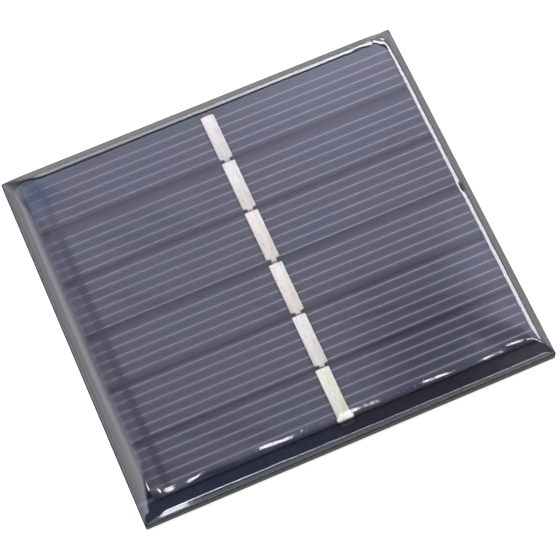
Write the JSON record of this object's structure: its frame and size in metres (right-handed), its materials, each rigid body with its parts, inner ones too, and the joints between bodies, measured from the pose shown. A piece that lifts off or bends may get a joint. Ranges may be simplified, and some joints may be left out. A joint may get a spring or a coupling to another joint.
{
  "type": "mini solar panel",
  "caption": "Small rectangular solar panel: strip cells joined by a centre ribbon on a circuit board, sealed under a clear resin dome, with two solder pads on its back.",
  "frame": {"origin": "centre of the board's flat back face", "axes": "+X along the long side, the way the silver fingers run; +Y along the cell string towards the positive end; +Z out of the lit face"},
  "size_m": [0.065, 0.06, 0.003],
  "materials": {
    "circuit_board": "black solder mask, satin",
    "silicon": "blue-violet anti-reflection coat, smooth",
    "silver_paste": "printed silver, matt",
    "rear_aluminium": "printed aluminium, matt",
    "tinned_copper": "hand-tinned, streaky satin",
    "solder": "bright, slightly grained",
    "copper_pad": "satin copper",
    "tinned_pad": "tinned, satin",
    "adhesive_tape": "matt, slightly cloudy",
    "clear_resin": "clear, wet gloss"
  },
  "bodies": {
    "root": {"back_board": "circuit_board", "epoxy_dome": "clear_resin", "cell_1": "silicon", "silver_grid_1": "silver_paste", "rear_contact_1": "rear_aluminium", "tab_ribbon_1": "tinned_copper", "cell_2": "silicon", "silver_grid_2": "silver_paste", "rear_contact_2": "rear_aluminium", "tab_ribbon_2": "tinned_copper", "cell_3": "silicon", "silver_grid_3": "silver_paste", "rear_contact_3": "rear_aluminium", "tab_ribbon_3": "tinned_copper", "cell_4": "silicon", "silver_grid_4": "silver_paste", "rear_contact_4": "rear_aluminium", "tab_ribbon_4": "tinned_copper", "cell_5": "silicon", "silver_grid_5": "silver_paste", "rear_contact_5": "rear_aluminium", "tab_ribbon_5": "tinned_copper", "cell_6": "silicon", "silver_grid_6": "silver_paste", "rear_contact_6": "rear_aluminium", "tab_ribbon_6": "tinned_copper", "positive_lead_tab": "tinned_copper", "positive_front_pad": "copper_pad", "positive_via": "solder", "positive_terminal_pad": "tinned_pad", "positive_solder_joint": "solder", "negative_front_pad": "copper_pad", "negative_via": "solder", "negative_terminal_pad": "tinned_pad", "negative_solder_joint": "solder", "adhesive_strip_left": "adhesive_tape", "adhesive_strip_right": "adhesive_tape"}
  },
  "joints": []
}
